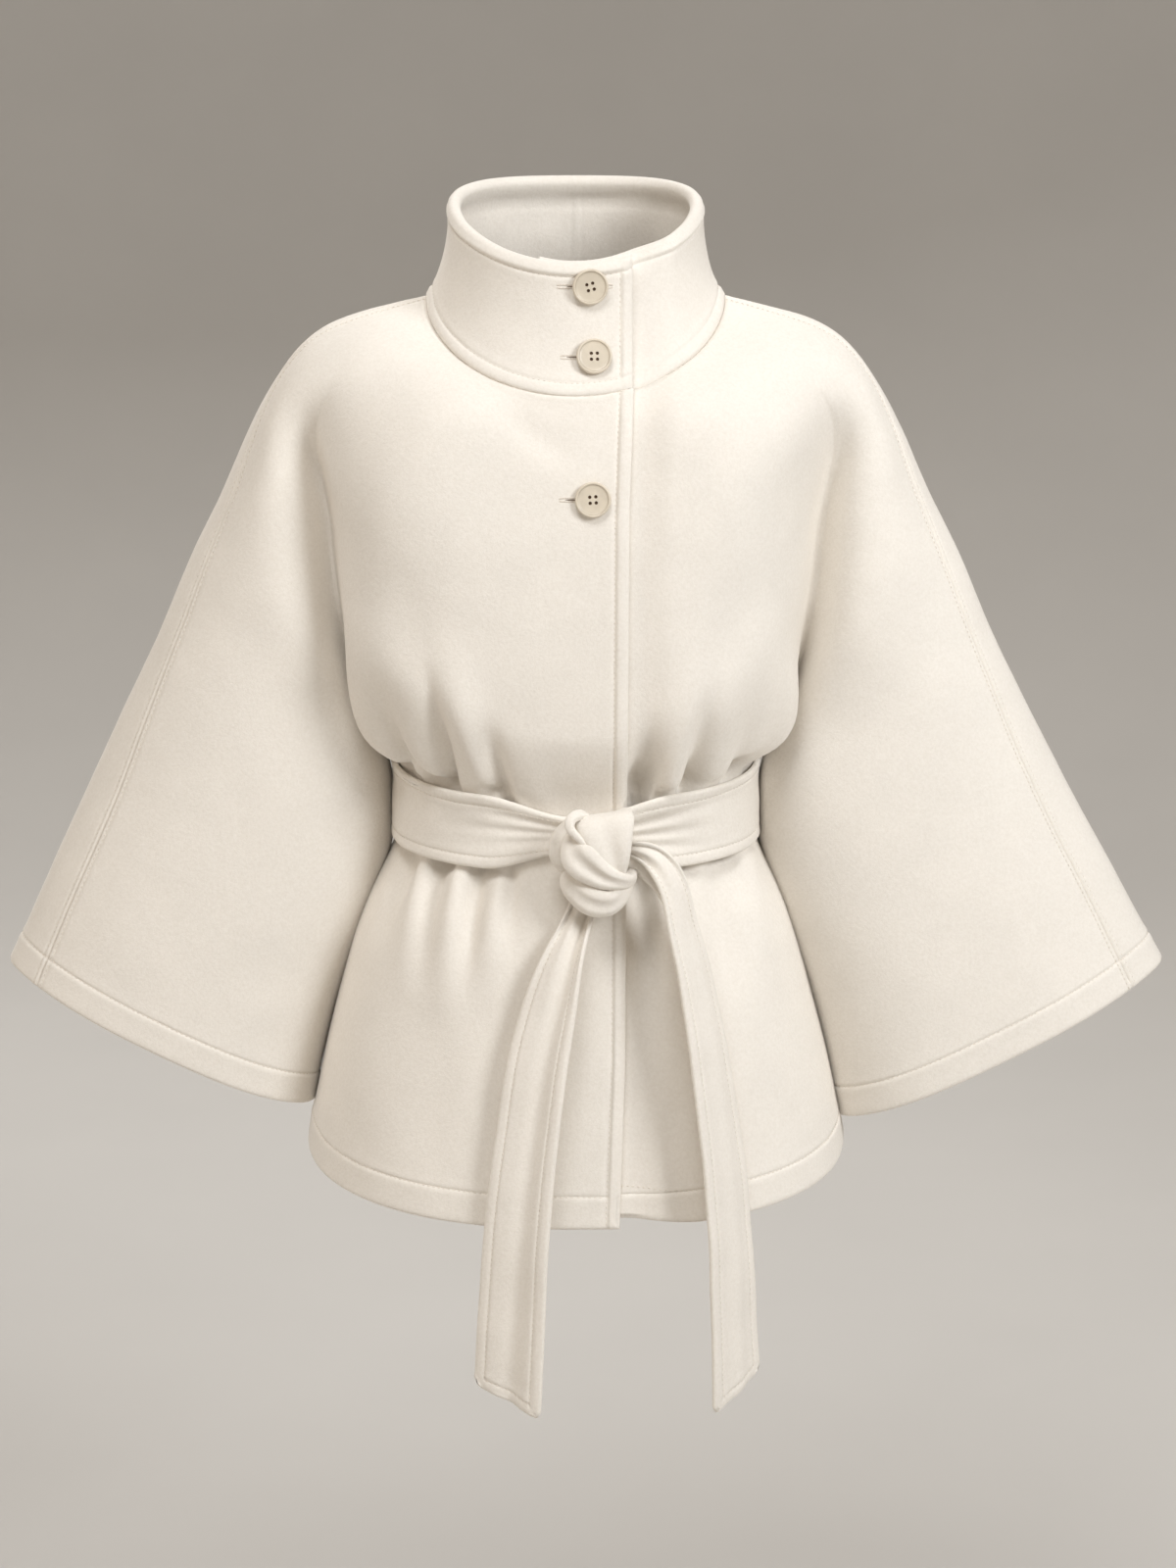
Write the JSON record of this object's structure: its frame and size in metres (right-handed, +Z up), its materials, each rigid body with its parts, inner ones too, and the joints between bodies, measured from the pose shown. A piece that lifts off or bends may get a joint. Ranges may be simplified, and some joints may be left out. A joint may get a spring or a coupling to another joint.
{
  "type": "belted cape jacket",
  "caption": "Belted cape jacket in thick wool cloth: wide sleeves cut in one with the body, folded stand collar, lapped buttoned front, and a tied cloth belt with hanging ends.",
  "frame": {"origin": "the point midway between the two sides of the neck, at the height where the collar's foot rests on the wearer's shoulders", "axes": "+Z up; -Y is the garment's front, where it is buttoned; +X is the wearer's left"},
  "size_m": [0.863, 0.3319, 0.8708],
  "materials": {
    "wool_front_right": "felted wool",
    "wool_front_left": "felted wool",
    "wool_back": "felted wool",
    "wool_collar": "felted wool",
    "wool_belt_band": "felted wool",
    "wool_belt_knot": "felted wool",
    "wool_belt_tail_right": "felted wool",
    "wool_belt_tail_left": "felted wool",
    "button_top": "satin",
    "button_middle": "satin",
    "button_lower": "satin"
  },
  "bodies": {
    "root": {"front_right": "wool_front_right", "front_left": "wool_front_left", "back": "wool_back", "collar": "wool_collar", "belt_band": "wool_belt_band", "belt_knot": "wool_belt_knot", "belt_tail_right": "wool_belt_tail_right", "belt_tail_left": "wool_belt_tail_left", "button_top": "button_top", "button_middle": "button_middle", "button_lower": "button_lower"}
  },
  "joints": []
}
